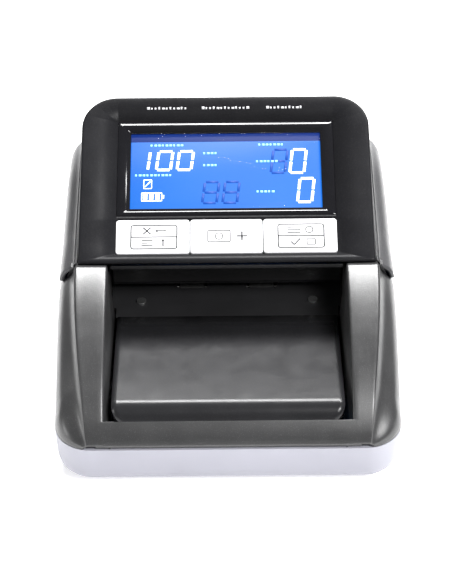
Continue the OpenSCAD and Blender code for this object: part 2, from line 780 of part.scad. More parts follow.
module left_key() color("#f2f2f4") key_cap(-strip_x + 0.2, -mid_x - 0.2);
module right_key() color("#f2f2f4") key_cap(mid_x + 0.2, strip_x - 0.2);

module centre_plate() color("#f2f2f4") on_panel() {
    l0 = key_l0 + 0.2;
    translate([-mid_x + 0.2, l0, -2]) linear_extrude(2 + key_proud)
        round_rect(0, 0, 2 * mid_x - 0.4, key_l1 - key_l0 - 0.4, 1);
    for (s = [-1, 1]) translate([s * 10, 11.4, -7.6]) cylinder(r = 1.5, h = 6);
}

module buzzer() color(black) on_panel() difference() {
    translate([20, 45, -15]) cylinder(r = 6, h = 5.8);
    translate([20, 45, -16]) cylinder(r = 1, h = 3);
}

module display_ribbon() color("#d8d8dc") on_panel() {
    translate([-20, 30, -9.7]) cube([22, 8, 0.5]);
    translate([-20, 30, -19.2]) cube([0.5, 8, 9.6]);
}

// the curved black scoop behind the mouth, from the lip down to the note path: a quarter
// of an ellipse, smaller by t
function scoop_line(t) = [for (i = [0 : 10]) let (a = 9 * i)
    [-8.2 + (13.4 - t) * sin(a), roof_z + 2.5 + (17.8 - t) * cos(a)]];

module throat_cowl() color(black) {
    x = channel_x - 0.9;
    outer = scoop_line(0);
    inner = scoop_line(1.6);
    along_x(-x, x) polygon(concat(outer, [for (i = [10 : -1 : 0]) inner[i]]));
    for (s = [-1, 1]) along_x(s * (x - 0.7) - 0.7, s * (x - 0.7) + 0.7)
        polygon(concat(outer, [[20, outer[10][1]], [20, outer[0][1]]]));
}

module upper_track() color(black) {
    x = channel_x - 0.9;
    difference() {
        union() {
            // floor of the track with its raised entry
            along_x(-x, x) polygon([[3.2, roof_z + 2], [5.6, roof_z], [65, roof_z], [65, roof_z + 2]]);
            both() box([x - 1.6, 20.4, roof_z + 1], [x, 65, 49]);
            box([-x, 63.4, roof_z + 1], [x, 65, 46]);
            both() for (y = [24, 60]) translate([36, y, roof_z + 1]) cylinder(r = 2.6, h = 14);
            // posts of the pinch axles
            both() for (y = [front_y, rear_y]) box([20.6, y - 2.5, roof_z + 1], [23, y + 2.5, roof_z + 6.5]);
        }
        both() for (y = [front_y, rear_y]) {
            box([roller_x - 5, y - 5, roof_z - 1], [roller_x + 5, y + 5, roof_z + 3]);
            bar_x(1.2 + run_fit, 19, 24, y, pinch_z);
            bar_x(1.5, -1, 19.5, y, pinch_z);
        }
        box([-39, 25.5, roof_z - 1], [39, 36.5, roof_z + 3]);
        box([-9, 38.6, roof_z - 1], [9, 46.4, roof_z + 3]);
        both() for (y = [24, 60]) translate([36, y, roof_z + 3]) cylinder(r = 1, h = 20);
    }
}

module upper_sensor_board() color(board_green) difference() {
    box([-42, 21, roof_z + 15.05], [42, 62, roof_z + 16.6]);
    both() for (y = [24, 60]) translate([36, y, roof_z + 10]) cylinder(r = 1.2, h = 20);
}

module upper_sensor_window() color("#2b2433") box([-38.8, 25.7, roof_z + 0.1], [38.8, 36.3, roof_z + 1.6]);

module magnetic_head() color(steel) difference() {
    union() {
        box([-8, 39.4, roof_z - 0.6], [8, 45.6, roof_z + 12]);
        along_x(-8, 8) translate([42.5, roof_z]) circle(1.1);
    }
    box([-6.5, 40.6, roof_z + 6], [6.5, 44.4, roof_z + 14]);
}

module uv_lamp() color("#8a6fd8") {
    box([-34, 27, roof_z + 4], [34, 35, roof_z + 5.6]);
    for (x = [-30 : 12 : 30]) translate([x, 31, roof_z + 1.8]) cylinder(r = 2, h = 2.3);
    for (x = [-32, 32]) box([x - 1, 30, roof_z + 5.5], [x + 1, 32, roof_z + 15]);
}

module pinch_springs() color(steel) for (y = [front_y, rear_y], s = [-1, 1])
    along_x(s * 19.35 - 0.95, s * 19.35 + 0.95) polygon([[y - 6, pinch_z + 1.5], [y + 6, pinch_z + 1.5],
        [y + 10, pinch_z + 4], [y + 9.7, pinch_z + 4.4], [y + 5.9, pinch_z + 1.9], [y - 6, pinch_z + 1.9]]);

module lid_screws() color(steel) {
    both() for (y = [24, 60]) translate([36, y, roof_z]) {
        translate([0, 0, 16.62]) cylinder(r = 2, h = 1.2);
        translate([0, 0, 8]) cylinder(r = 0.95, h = 9);
    }
    on_panel() both() translate([38, 60.5, -12]) {
        translate([0, 0, 1.4]) cylinder(r = 2.2, h = 1.35);
        translate([0, 0, 2]) cylinder(r = 1.3, h = 2.4);
    }
}

module hinge_washers() color("#c9a14a") both() difference() {
    bar_x(3, 49.55, 49.95, hinge_y, hinge_z);
    bar_x(pin_r + run_fit, 49, 51, hinge_y, hinge_z);
}

bottom_base();
lower_frame();
note_tray();
lower_track();
lower_sensor_window();
lower_sensor_board();
shaft_bushes();
feed_motor();
motor_screws();
idler_stud();
main_board();
board_components();
dc_jack();
update_port();
switch_body();
battery_pack();
battery_cover();
battery_cover_screws();
rubber_feet();
base_screws();
hinge_pins();
deck_screws();
front_feed_shaft();
front_feed_rollers();
front_shaft_gear();
rear_feed_shaft();
rear_feed_rollers();
rear_shaft_gear();
idler_gear();
motor_shaft();
motor_pinion();
power_rocker();
upper_cover();
lid_end_plates();
hinge_bracket();
display_housing();
display_lens();
lcd_panel();
lcd_backlight();
display_board();
key_switches();
centre_plate();
buzzer();
throat_cowl();
upper_track();
upper_sensor_board();
upper_sensor_window();
magnetic_head();
uv_lamp();
pinch_springs();
lid_screws();
display_ribbon();
hinge_washers();
left_key();
right_key();
front_pinch_axle();
front_pinch_rollers();
rear_pinch_axle();
rear_pinch_rollers();
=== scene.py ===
import json
import math

import bmesh
import bpy
from mathutils import Matrix, Vector


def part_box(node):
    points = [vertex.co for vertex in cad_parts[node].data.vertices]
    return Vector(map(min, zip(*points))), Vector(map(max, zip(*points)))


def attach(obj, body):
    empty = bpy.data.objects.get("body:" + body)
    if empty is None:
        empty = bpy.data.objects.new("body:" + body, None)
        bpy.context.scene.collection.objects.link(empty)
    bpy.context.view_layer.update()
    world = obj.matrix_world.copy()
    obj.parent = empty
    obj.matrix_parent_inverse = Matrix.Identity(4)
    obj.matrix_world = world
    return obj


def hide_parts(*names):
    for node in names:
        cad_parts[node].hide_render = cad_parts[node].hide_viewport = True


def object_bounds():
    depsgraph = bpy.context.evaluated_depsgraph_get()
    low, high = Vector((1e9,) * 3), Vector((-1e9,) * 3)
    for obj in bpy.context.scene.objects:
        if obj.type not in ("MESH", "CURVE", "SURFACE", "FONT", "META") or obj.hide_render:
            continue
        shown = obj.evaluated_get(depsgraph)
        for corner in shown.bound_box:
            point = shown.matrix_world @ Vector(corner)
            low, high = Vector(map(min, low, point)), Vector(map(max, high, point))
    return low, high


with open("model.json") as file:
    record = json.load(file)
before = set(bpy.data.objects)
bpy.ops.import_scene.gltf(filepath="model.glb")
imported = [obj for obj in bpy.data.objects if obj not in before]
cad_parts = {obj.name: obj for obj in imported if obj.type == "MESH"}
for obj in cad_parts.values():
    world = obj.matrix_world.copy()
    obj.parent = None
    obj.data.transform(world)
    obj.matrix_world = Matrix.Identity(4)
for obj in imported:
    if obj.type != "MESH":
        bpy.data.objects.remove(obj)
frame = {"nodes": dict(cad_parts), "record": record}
CAD_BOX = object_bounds()
NODES = frame["nodes"]

# ------------------------------------------------------------------ sizes, in millimetres
MM = 0.001


def cad_box(node):
    """The lowest and the highest corner of a CAD node, in millimetres."""
    low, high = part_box(node)
    return low / MM, high / MM


TRAY_LOW, TRAY_HIGH = cad_box("note_tray")

HALF_W = 66.0
HALF_D = 77.0
FRONT_R = 14.0
REAR_R = 17.0
SEAM_Z = 20.0
FRAME_Z = 44.6
LID_Z = 44.9
LIP_Y = -10.0
LIP_Z = 54.5
TILT = math.radians(22)
HEAD_X = cad_box("display_housing")[1].x
PANEL_LEN = 76.7
HEAD_R = 14.0
HEAD_DEPTH = 29.0
CHANNEL_X = 46.0
HINGE_Y = 67.0
HINGE_Z = 54.0
KNUCKLE_R = 9.0
STRIP_X = 42.95
KEY_L0, KEY_L1 = 3.65, 19.1
MID_X = 14.2
LENS_L0, LENS_L1 = 20.8, 64.5
LCD_X = 37.75
LCD_L0, LCD_L1, LCD_TOP = 24.0, 55.5, 59.2
KEY_PROUD = 0.3
INK_THICK = 0.03
# how far the crease of the arms stands from the middle where it meets the lid
LIP_CREASE_X = 58.3
# how far the frame's walls lean in between the seam and their top
FRAME_DRAFT = 0.9
# gap between the head and the cover round it
HEAD_GAP = 0.35
EAR_R = 4
ARM_WALL = 1.9
COVER_WALL = 1.7
TRAY_WALL = 1.7
FRAME_WALL = 2.0
SHOULDER_STEPS = 18
SHOULDER_DROP = 12.4
# the lid's outline is walked from its right front end, round the corner, to the middle of the back
LID_FRONT_Y = -8.9
REAR_PLAN_Y = 71.8
SIDE_LEN = HALF_D - REAR_R - LID_FRONT_Y
CORNER_LEN = REAR_R * math.pi / 2
CORNER_X = HALF_W - 0.8 - REAR_R
BACK_LEN = CORNER_X
WALK_LEN = SIDE_LEN + CORNER_LEN + BACK_LEN


def lerp(a, b, t):
    return a + (b - a) * t


def smooth(t):
    t = min(1.0, max(0.0, t))
    return t * t * (3 - 2 * t)


def on_panel(x, up, out=0.0):
    """A point of the tilted panel: x across, up the slope, and out along its normal."""
    return (
        x,
        LIP_Y + up * math.cos(TILT) - out * math.sin(TILT),
        LIP_Z + up * math.sin(TILT) + out * math.cos(TILT),
    )


# ------------------------------------------------------------------ mesh helpers


def mesh_piece(name, points, faces):
    mesh = bpy.data.meshes.new(name)
    mesh.from_pydata([Vector(p) * MM for p in points], [], faces)
    mesh.validate()
    work = bmesh.new()
    work.from_mesh(mesh)
    bmesh.ops.recalc_face_normals(work, faces=work.faces)
    work.to_mesh(mesh)
    work.free()
    mesh.polygons.foreach_set("use_smooth", [True] * len(mesh.polygons))
    mesh.update()
    piece = bpy.data.objects.new(name, mesh)
    bpy.context.scene.collection.objects.link(piece)
    return piece


class Builder:
    """Collects points and faces of one piece."""

    def __init__(self):
        self.points = []
        self.faces = []

    def add(self, points, faces):
        start = len(self.points)
        self.points += [tuple(p) for p in points]
        self.faces += [tuple(start + i for i in face) for face in faces]

    def sheet(self, outer, inner, skip=lambda i, j: False):
        """A closed sheet between two grids of points; skip names the cells left open."""
        n, m = len(outer), len(outer[0])
        o = n * m
        points = [p for row in outer for p in row] + [p for row in inner for p in row]
        faces = []
        open_cells = {(i, j) for i in range(n - 1) for j in range(m - 1) if skip(i, j)}
        for i in range(n - 1):
            for j in range(m - 1):
                a, b, c, d = i * m + j, i * m + j + 1, (i + 1) * m + j + 1, (i + 1) * m + j
                if (i, j) not in open_cells:
                    faces.append((a, d, c, b))
                    faces.append((o + a, o + b, o + c, o + d))
                    continue
                for near, p, q in (((i, j - 1), a, d), ((i + 1, j), d, c),
                                   ((i, j + 1), c, b), ((i - 1, j), b, a)):
                    if near not in open_cells:
                        faces.append((q, p, o + p, o + q))
        for i in range(n - 1):
            a, b = i * m, (i + 1) * m
            faces.append((a, o + a, o + b, b))
            a, b = i * m + m - 1, (i + 1) * m + m - 1
            faces.append((b, o + b, o + a, a))
        for j in range(m - 1):
            faces.append((j, j + 1, o + j + 1, o + j))
            a = (n - 1) * m + j
            faces.append((a + 1, a, o + a, o + a + 1))
        self.add(points, faces)

    def loops(self, rings, cap_first=True, cap_last=True):
        """Joins closed rings of points that have the same count into a skin."""
        m = len(rings[0])
        points = [p for ring in rings for p in ring]
        faces = []
        for i in range(len(rings) - 1):
            for j in range(m):
                k = (j + 1) % m
                faces.append((i * m + j, i * m + k, (i + 1) * m + k, (i + 1) * m + j))
        if cap_first:
            faces.append(tuple(reversed(range(m))))
        if cap_last:
            faces.append(tuple(range((len(rings) - 1) * m, len(rings) * m)))
        self.add(points, faces)

    def prism_x(self, outline, x0, x1):
        """An outline of (y, z) points, counter-clockwise from +X, swept along X."""
        self.loops([[(x0, y, z) for y, z in outline], [(x1, y, z) for y, z in outline]])

    def box(self, low, high):
        outline = [(low[1], low[2]), (high[1], low[2]), (high[1], high[2]), (low[1], high[2])]
        self.prism_x(outline, low[0], high[0])

    def piece(self, name):
        return mesh_piece(name, self.points, self.faces)


def soften(piece, width):
    """Rounds the hard edges a little, as a mould or a cutter leaves them."""
    weld = piece.modifiers.new("weld", "WELD")
    weld.merge_threshold = 0.00001
    bevel = piece.modifiers.new("edges", "BEVEL")
    bevel.width = width * MM
    bevel.segments = 2
    bevel.limit_method = "ANGLE"
    bevel.angle_limit = math.radians(32)
    bevel.use_clamp_overlap = True
    bevel.harden_normals = False
    normals = piece.modifiers.new("normals", "WEIGHTED_NORMAL")
    normals.keep_sharp = False
    normals.weight = 60


def mirror_x(points):
    return [(-x, y, z) for x, y, z in points]


def both_sheets(builder, outer, inner):
    """Adds a sheet on the right and its mirror image on the left."""
    builder.sheet(outer, inner)
    builder.sheet([mirror_x(row) for row in reversed(outer)], [mirror_x(row) for row in reversed(inner)])


def round_ring(x0, x1, l0, l1, r, steps=6):
    """A rectangle with round corners as (x, l) points, counter-clockwise."""
    ring = []
    for cx, cl, start in ((x1 - r, l0 + r, -90), (x1 - r, l1 - r, 0),
                          (x0 + r, l1 - r, 90), (x0 + r, l0 + r, 180)):
        for k in range(steps + 1):
            a = math.radians(start + 90 * k / steps)
            ring.append((cx + r * math.cos(a), cl + r * math.sin(a)))
    return ring


# ------------------------------------------------------------------ materials


def shader(name):
    material = bpy.data.materials.new(name)
    material.use_nodes = True
    return material, material.node_tree, material.node_tree.nodes["Principled BSDF"]


def node(tree, kind, **inputs):
    made = tree.nodes.new(kind)
    for key, value in inputs.items():
        made.inputs[key.replace("_", " ")].default_value = value
    return made


def coordinates(tree, scale=(1, 1, 1)):
    place = tree.nodes.new("ShaderNodeTexCoord")
    mapping = tree.nodes.new("ShaderNodeMapping")
    mapping.inputs["Scale"].default_value = scale
    tree.links.new(place.outputs["Object"], mapping.inputs["Vector"])
    return mapping.outputs["Vector"]


def ramp(tree, source, stops):
    made = tree.nodes.new("ShaderNodeValToRGB")
    elements = made.color_ramp.elements
    while len(elements) < len(stops):
        elements.new(0.5)
    for element, (at, value) in zip(elements, stops):
        element.position = at
        element.color = (*value, 1.0)
    tree.links.new(source, made.inputs["Fac"])
    return made.outputs["Color"]


def noise(tree, vector, scale, detail=3.0, rough=0.5):
    made = node(tree, "ShaderNodeTexNoise", Scale=scale, Detail=detail, Roughness=rough)
    tree.links.new(vector, made.inputs["Vector"])
    return made.outputs["Fac"]


def bump(tree, bsdf, height, strength, distance):
    made = node(tree, "ShaderNodeBump", Strength=strength, Distance=distance)
    tree.links.new(height, made.inputs["Height"])
    tree.links.new(made.outputs["Normal"], bsdf.inputs["Normal"])


def grey(value):
    return (value,) * 3


def moulded(name, color, rough=0.42, grain=0.5, painted_sparkle=0.0, spread=0.12, coat=0.0, shine=0.5):
    """Moulded plastic: a fine spark-eroded grain, slow tone changes, light handling marks and, where asked,
    painted glints as lighter specks in the base colour.
    """
    material, tree, bsdf = shader(name)
    where = coordinates(tree)
    slow = noise(tree, where, 38, 2)
    fine = noise(tree, where, 2600, 2, 0.6)
    low = tuple(c * (1 - spread) for c in color)
    high = tuple(min(1, c * (1 + spread)) for c in color)
    tone = ramp(tree, slow, [(0.3, low), (0.7, high)])
    # painted glints: lighter specks put into the base colour stand in for the sparkle of light off the
    # grain
    if painted_sparkle:
        mix = tree.nodes.new("ShaderNodeMix")
        mix.data_type = "RGBA"
        painted_sparkle_spots = ramp(tree, noise(tree, where, 3600, 1, 0.4), [(0.62, (0, 0, 0)), (0.72, (painted_sparkle,) * 3)])
        tree.links.new(painted_sparkle_spots, mix.inputs["Factor"])
        tree.links.new(tone, mix.inputs["A"])
        mix.inputs["B"].default_value = (*[min(1, c * 2.6 + 0.08) for c in color], 1)
        tone = mix.outputs["Result"]
    tree.links.new(tone, bsdf.inputs["Base Color"])
    worn = [(0.35, grey(rough * 0.9)), (0.7, grey(rough * 1.12))]
    marks = ramp(tree, noise(tree, where, 120, 4, 0.65), worn)
    tree.links.new(marks, bsdf.inputs["Roughness"])
    bsdf.inputs["Specular IOR Level"].default_value = shine
    bsdf.inputs["Coat Weight"].default_value = coat
    bsdf.inputs["Coat Roughness"].default_value = 0.12
    bump(tree, bsdf, fine, grain, 0.00006)
    return material


def metal(name, color, rough=0.28, stretch=(1, 60, 60), grain=0.25):
    """Drawn or turned metal with fine lines along one direction."""
    material, tree, bsdf = shader(name)
    lines = noise(tree, coordinates(tree, stretch), 320, 3)
    tree.links.new(ramp(tree, lines, [(0.3, tuple(c * 0.82 for c in color)), (0.7, color)]),
                   bsdf.inputs["Base Color"])
    tree.links.new(ramp(tree, lines, [(0.3, grey(rough * 0.7)), (0.7, grey(rough * 1.5))]),
                   bsdf.inputs["Roughness"])
    bsdf.inputs["Metallic"].default_value = 1.0
    bump(tree, bsdf, lines, grain, 0.00003)
    return material


def rubber(name, color):
    """Ground rubber: matt, with a coarse dusty grain."""
    material, tree, bsdf = shader(name)
    where = coordinates(tree)
    dust = noise(tree, where, 900, 4, 0.7)
    tree.links.new(ramp(tree, dust, [(0.35, color), (0.75, tuple(c * 2.2 + 0.01 for c in color))]),
                   bsdf.inputs["Base Color"])
    bsdf.inputs["Roughness"].default_value = 0.78
    bump(tree, bsdf, dust, 0.5, 0.00012)
    return material


def circuit_board(name, color):
    """Solder mask with paler copper tracks showing through."""
    material, tree, bsdf = shader(name)
    cells = node(tree, "ShaderNodeTexBrick", Scale=150.0)
    cells.inputs["Mortar Size"].default_value = 0.09
    cells.inputs["Color1"].default_value = (*color, 1)
    cells.inputs["Color2"].default_value = (*[c * 0.8 for c in color], 1)
    cells.inputs["Mortar"].default_value = (*[min(1, c * 1.9 + 0.02) for c in color], 1)
    tree.links.new(coordinates(tree), cells.inputs["Vector"])
    tree.links.new(cells.outputs["Color"], bsdf.inputs["Base Color"])
    bsdf.inputs["Roughness"].default_value = 0.32
    bump(tree, bsdf, cells.outputs["Fac"], 0.3, 0.00005)
    return material


def glossy(name, color, rough=0.06, alpha=1.0):
    """A polished pane with the faintest smears."""
    material, tree, bsdf = shader(name)
    where = coordinates(tree)
    smears = noise(tree, where, 60, 5, 0.7)
    tree.links.new(ramp(tree, smears, [(0.4, color), (0.8, tuple(c * 1.15 + 0.001 for c in color))]),
                   bsdf.inputs["Base Color"])
    tree.links.new(ramp(tree, smears, [(0.45, grey(rough)), (0.85, grey(rough * 1.8))]),
                   bsdf.inputs["Roughness"])
    bsdf.inputs["IOR"].default_value = 1.49
    bsdf.inputs["Alpha"].default_value = alpha
    return material


def lit(name, color, edge, strength):
    """A lit display field, brighter where its lamps stand."""
    material, tree, bsdf = shader(name)
    glow = noise(tree, coordinates(tree), 16, 1)
    tone = ramp(tree, glow, [(0.3, edge), (0.7, color)])
    tree.links.new(tone, bsdf.inputs["Emission Color"])
    bsdf.inputs["Emission Strength"].default_value = strength
    bsdf.inputs["Base Color"].default_value = (*[c * 0.1 for c in edge], 1)
    bsdf.inputs["Roughness"].default_value = 0.6
    return material


def ink(name, color, glow=0.0):
    """Printed ink, slightly uneven in density."""
    material, tree, bsdf = shader(name)
    density = noise(tree, coordinates(tree), 1500, 2)
    tone = ramp(tree, density, [(0.3, tuple(c * 0.88 for c in color)), (0.7, color)])
    tree.links.new(tone, bsdf.inputs["Base Color"])
    bsdf.inputs["Roughness"].default_value = 0.5
    if glow:
        tree.links.new(tone, bsdf.inputs["Emission Color"])
        bsdf.inputs["Emission Strength"].default_value = glow
    return material


# ------------------------------------------------------------------ outlines of the mouldings


def side_x(y):
    """Half width of the case at the station y."""
    if y < -HALF_D + FRONT_R:
        return HALF_W - 1 - FRONT_R + math.sqrt(max(0, FRONT_R**2 - (y + HALF_D - FRONT_R) ** 2))
    if y > HALF_D - REAR_R:
        return CORNER_X + math.sqrt(max(0, REAR_R**2 - (y - HALF_D + REAR_R) ** 2))
    reach = (HALF_D - FRONT_R, 1.0) if y < 0 else (HALF_D - REAR_R, 0.8)
    return HALF_W - reach[1] * (y / reach[0]) ** 2


def arm_top(y):
    """Top of the arms: a flattened ellipse that comes down to the seam."""
    run = max(0.0, LIP_Y - y) / (LIP_Y + HALF_D)
    return SEAM_Z + 33.5 * max(0.0, 1 - run**1.5) ** (2 / 3)


def crease_x(y):
    """The crease along the top of the arms."""
    return min(LIP_CREASE_X - 4.3 * (max(0.0, LIP_Y - y) / 55) ** 1.7, side_x(y) - 2)


def shoulder(t):
    """The S-shaped section of the shoulder: how far out and how far down at t from 0 to 1."""
    out = t - 0.1 * math.sin(2 * math.pi * t) * (1 - 0.3 * t)
    down = t + 0.045 * math.sin(2 * math.pi * t)
    return out, down


def arm_row(y, t):
    """One station across an arm, drawn in by t: inner face, top, crease, shoulder and side."""
    top = arm_top(y) - t
    side = side_x(y) - t
    crease = min(crease_x(y), side - 0.5)
    drop = min(SHOULDER_DROP, 0.7 * (top - SEAM_Z))
    reach = side - 0.8 - crease
    fade = smooth((y + HALF_D - 6) / 22) * (1 if t == 0 else 0)
    inner = CHANNEL_X + t
    edge_r = min(1.1, 0.3 * (top - SEAM_Z))
    foot = CHANNEL_X - 2.4 + t
    row = [(foot, y, SEAM_Z), (lerp(foot, inner, 0.5), y, lerp(SEAM_Z, top, 0.5))]
    for k in range(5):
        a = math.radians(180 - 22.5 * k)
        row.append((inner + edge_r + edge_r * math.cos(a), y, top - edge_r + edge_r * math.sin(a)))
    flat = crease - 0.9 - inner - edge_r
    for f in (0.25, 0.5, 0.75, 0.95):
        row.append((inner + edge_r + flat * f, y, top + 0.12 * fade * f))
    for dx, dz in ((-0.45, 0.22), (-0.15, 0.16), (0.0, -0.38), (0.3, -0.42)):
        row.append((crease + dx, y, top + dz * fade))
    for k in range(1, SHOULDER_STEPS + 1):
        out, down = shoulder(k / SHOULDER_STEPS)
        row.append((crease + 0.3 + (reach - 0.3) * out, y, top - max(0.1 * fade, drop * down)))
    row.append((side - 0.35, y, lerp(top - drop, SEAM_Z, 0.45)))
    row.append((side, y, SEAM_Z + 0.1))
    return row


def edge_point(q, t):
    """Outer edge of the lid, q along it from its right front end, drawn in by t."""
    if q < SIDE_LEN:
        y = q + LID_FRONT_Y
        return side_x(y) - 0.9 - t, y
    if q < SIDE_LEN + CORNER_LEN:
        a = (q - SIDE_LEN) / REAR_R
        r = REAR_R - 0.8 - t
        return CORNER_X + r * math.cos(a), HALF_D - REAR_R + r * math.sin(a)
    return max(0.0, WALK_LEN - q), HALF_D - 0.8 - t


def head_point(q, t):
    """The matching point beside the head."""
    x, y, r = HEAD_X + HEAD_GAP + t, REAR_PLAN_Y + HEAD_GAP + t, HEAD_R + HEAD_GAP + t
    if q < SIDE_LEN - 2:
        return x, min(q + LID_FRONT_Y, y - r)
    if q < SIDE_LEN + CORNER_LEN:
        a = math.pi / 2 * (q - SIDE_LEN + 2) / (CORNER_LEN + 2)
        return x - r + r * math.cos(a), y - r + r * math.sin(a)
    return max(0.0, (WALK_LEN - q) / BACK_LEN * (x - r)), y


def cheek_top(q):
    """Height of the cheek beside the head."""
    return LIP_Z + 0.17 * min(q, 75) - 10 * smooth((q - 50) / 60)


def lid_bottom(y):
    """Bottom of the lid: level, then up round the knuckle at the back."""
    if y < HINGE_Y:
        return LID_Z
    return max(LID_Z, HINGE_Z - math.sqrt(max(0, KNUCKLE_R**2 - (y - HINGE_Y) ** 2)))


def cheek_drop(q, top, low):
    """How far the shoulder of the lid comes down, less and less round the corner."""
    return min(SHOULDER_DROP - 8 * smooth((q - SIDE_LEN) / CORNER_LEN), top - low - 0.6)


def cover_row(q, t):
    """One section of the cover, from the edge beside the head down to the lid's bottom."""
    ox, oy = edge_point(q, t)
    ix, iy = head_point(q, t * 0.7)
    top = cheek_top(q) - t
    low = lid_bottom(edge_point(q, 0)[1])
    drop = cheek_drop(q, top, low)
    row = [(ix, iy, cheek_top(q) - 2.6), (ix, iy, top - 0.3)]
    for k in range(1, SHOULDER_STEPS + 1):
        out, down = shoulder(k / SHOULDER_STEPS)
        row.append((lerp(ix, ox, out), lerp(iy, oy, out), top - drop * down))
    row.append((ox, oy, lerp(top - drop, low, 0.55)))
    row.append((ox, oy, low))
    return row


def frame_wall_x(y, z):
    """Half width of the dark frame behind the arms, easing into the shoulder near the lip."""
    plain = side_x(y) - FRAME_DRAFT * (z - SEAM_Z) / (FRAME_Z - SEAM_Z)
    top = LIP_Z - 1
    reach = side_x(y) - 0.8 - LIP_CREASE_X
    t = (top - z) / SHOULDER_DROP
    curved = LIP_CREASE_X + reach * shoulder(t)[0] if t < 1 else side_x(y) - 0.35
    return lerp(min(curved, plain), plain, smooth((y - LIP_Y) / 15))


# ------------------------------------------------------------------ pieces of the lower unit


def spread(a, b, n, power=1.0):
    """n + 1 stations from a to b, packed towards a when power is over 1."""
    return [lerp(a, b, (k / n) ** power) for k in range(n + 1)]


def make_frame_arms():
    """The two hollow arms of the frame, from the nose back to the lid."""
    build = Builder()
    nose, back = -HALF_D + 0.35, LIP_Y - 0.15
    outer = [arm_row(y, 0) for y in spread(nose, back, 64, 1.35)]
    inner = [arm_row(y, ARM_WALL) for y in spread(nose + 2, back - 2.2, 64, 1.35)]
    both_sheets(build, outer, inner)
    return build.piece("frame_arms")


def make_frame_nose():
    """The low nose under the front edge of the tray."""
    build = Builder()
    back = TRAY_LOW.y + 0.6
    stations = spread(-HALF_D + 0.35, back, 10)
    xs = spread(-CHANNEL_X - 3.2, CHANNEL_X + 3.2, 46)
    outer = [[(x, y, arm_top(y)) for x in xs] for y in stations]
    inner = [[(x, y + 0.3, SEAM_Z + 0.05) for x in xs] for y in stations]
    build.sheet(outer, inner)
    return build.piece("frame_nose")


def frame_ring(z, inset):
    """The outline of the frame behind the arms at the height z, from right to left."""
    right = []
    for y in spread(LIP_Y + 0.38, HALF_D - REAR_R, 26):
        right.append((frame_wall_x(y, z) - inset, y, z))
    draft = FRAME_DRAFT * (z - SEAM_Z) / (FRAME_Z - SEAM_Z) + inset
    for k in range(1, 13):
        a = math.pi / 2 * k / 12
        r = REAR_R - draft
        right.append((CORNER_X + r * math.cos(a), HALF_D - REAR_R + r * math.sin(a), z))
    for x in (CHANNEL_X - 0.4, 30, 15):
        right.append((x, HALF_D - draft, z))
    return right + [(0, HALF_D - draft, z)] + mirror_x(reversed(right))


def make_frame_tub():
    """Side and rear walls with the exit slot, the deck beside the channel and its walls."""
    build = Builder()
    slot_low, slot_high = 27.0, 34.0
    levels = [SEAM_Z + 0.1, 24, slot_low, slot_high, 39, FRAME_Z - 0.25, FRAME_Z]
    slot_row = levels.index(slot_low)
    ring_len = len(frame_ring(SEAM_Z, 0))
    middle = ring_len // 2
    outer = [[frame_ring(z, 0.25 if z == FRAME_Z else 0)[i] for z in levels] for i in range(ring_len)]
    inner = [[frame_ring(z, FRAME_WALL)[i] for z in levels] for i in range(ring_len)]
    # the slot takes the three columns of cells on each side of the middle
    build.sheet(outer, inner, lambda i, j: abs(i + 0.5 - middle) < 3 and j == slot_row)
    top = FRAME_Z - 0.6
    for s in (1, -1):
        edge = [(s * (frame_wall_x(y, top) - 1.2), y) for y in spread(LIP_Y + 0.5, 58, 14)]
        near = [(s * (CHANNEL_X + 0.2), y) for _, y in edge]
        upper = [[(x0, y0, top), (lerp(x0, x1, 0.5), y0, top), (x1, y1, top)]
                 for (x0, y0), (x1, y1) in zip(near, edge)]
        lower = [[(x, y, z - 1.6) for x, y, z in row] for row in upper]
        build.sheet(upper, lower)
        wall_x = sorted((s * CHANNEL_X, s * (CHANNEL_X + 1.4)))
        build.box((wall_x[0], LIP_Y + 0.4, 27.2), (wall_x[1], 74.5, top))
    return build.piece("frame_tub")


def make_hinge_ears():
    """The two upright ears that hold the hinge pins."""
    build = Builder()
    ear = [(HINGE_Y - 15, FRAME_Z - 2), (HINGE_Y - 9, FRAME_Z - 2), (HINGE_Y - 9, HINGE_Z - EAR_R),
           (HINGE_Y, HINGE_Z - EAR_R)]
    for a in range(15, 180, 15):
        a = math.radians(a)
        ear.append((HINGE_Y + EAR_R * math.sin(a), HINGE_Z - EAR_R * math.cos(a)))
    ear += [(HINGE_Y, HINGE_Z + EAR_R), (HINGE_Y - 15, HINGE_Z + EAR_R)]
    for x0, x1 in ((50, 54), (-54, -50)):
        build.prism_x(ear, x0, x1)
    return build.piece("hinge_ears")


def tray_path(drop):
    """Side view of the tray: level floor, crest and curl, drawn in by drop."""
    r, cy, cz = 7 - drop, -64.5, 26
    path = [(-12.9, 29.5 - drop), (-20, 30.0 - drop), (-32, 30.8 - drop), (-44, 31.6 - drop),
            (-54, 32.3 - drop)]
    path += [(cy + r * math.cos(math.radians(a)), cz + r * math.sin(math.radians(a)))
             for a in range(84, 181, 6)]
    return path + [(cy - r, 24.6)]


def make_tray():
    """The tray insert, with round front corners and a thin rolled rim."""
    build = Builder()
    edge, corner = TRAY_HIGH.x, 5.0
    fractions = spread(-1, 1, 40)

    def across(y, inset):
        into = max(0.0, corner - (y - TRAY_LOW.y))
        return edge - inset - (corner - math.sqrt(max(0, corner**2 - into**2)))

    outer = [[(f * across(y, 0), y, z) for f in fractions] for y, z in tray_path(0)]
    inner = [[(f * across(y, 0), y, z) for f in fractions] for y, z in tray_path(TRAY_WALL)]
    build.sheet(outer, inner)
    rim_y, rim_z = tray_path(0)[-1]
    rim = [(rim_y - 0.28, rim_z - 0.5), (rim_y + 1.2, rim_z - 0.5), (rim_y + 1.2, rim_z + 0.5),
           (rim_y - 0.28, rim_z + 0.5)]
    build.prism_x(rim, -edge + corner, edge - corner)
    return build.piece("tray_insert")


# ------------------------------------------------------------------ pieces of the lid


